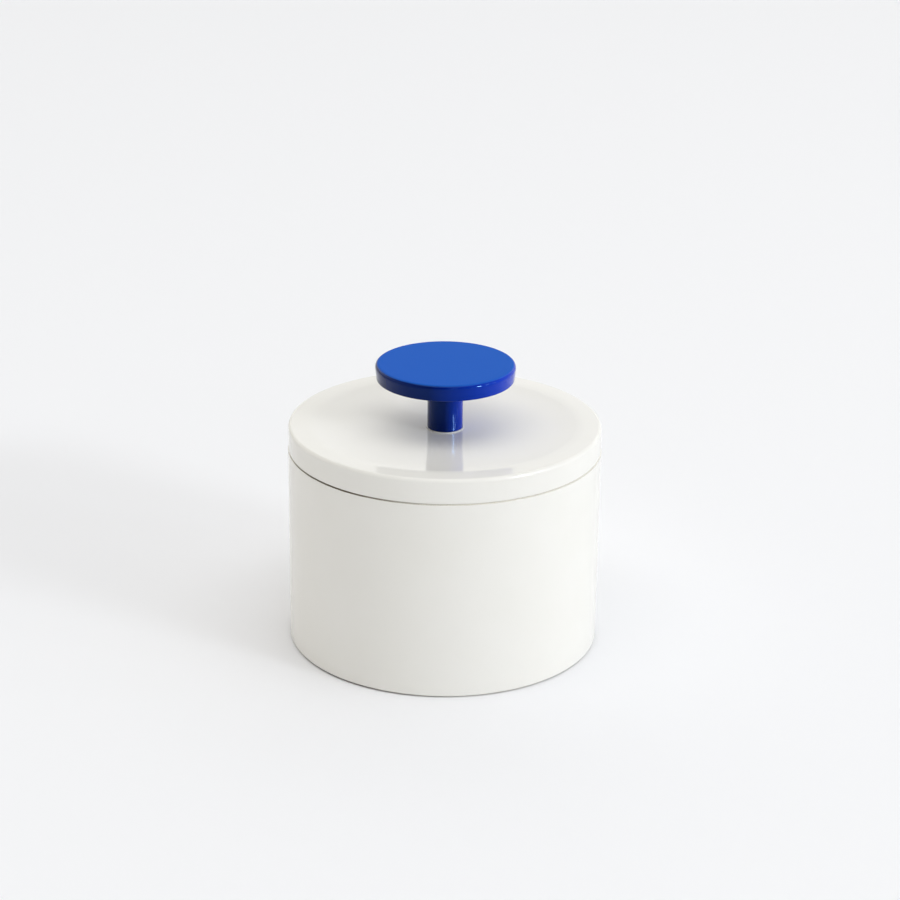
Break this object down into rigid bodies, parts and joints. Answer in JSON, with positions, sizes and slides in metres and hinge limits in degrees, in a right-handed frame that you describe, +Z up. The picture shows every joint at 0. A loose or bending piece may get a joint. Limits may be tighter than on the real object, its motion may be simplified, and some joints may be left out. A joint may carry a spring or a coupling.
{
  "type": "lidded ceramic box",
  "caption": "Round glazed ceramic box with straight walls and a lift-off lid, dished on top and located by a ring, lifted by a blue disc knob on a short stem.",
  "frame": {"origin": "centre of the circle on which the foot ring rests", "axes": "+Z up along the axis of the box, lid and knob"},
  "size_m": [0.1, 0.1, 0.0922],
  "materials": {
    "white_glaze": "glossy warm-white glaze over pale clay, bare where lid and box meet and on the foot ring",
    "blue_glaze": "glossy cobalt-blue glaze",
    "white_nylon": "plain white nylon",
    "insert_brass": "turned and knurled",
    "grey_rubber": "soft matte rubber",
    "zinc_steel": "bright zinc-plated steel"
  },
  "bodies": {
    "box": {"box_body": "white_glaze"},
    "lid": {"lid": "white_glaze", "knob_seat_washer": "white_nylon", "knob": "blue_glaze", "knob_insert": "insert_brass", "lid_soft_washer": "grey_rubber", "lid_steel_washer": "zinc_steel", "knob_screw": "zinc_steel"}
  },
  "joints": [
    {"name": "lid_lift", "type": "slide", "parent": "box", "child": "lid", "axis": [0, 0, 1], "range_m": [0, 0.1]}
  ]
}
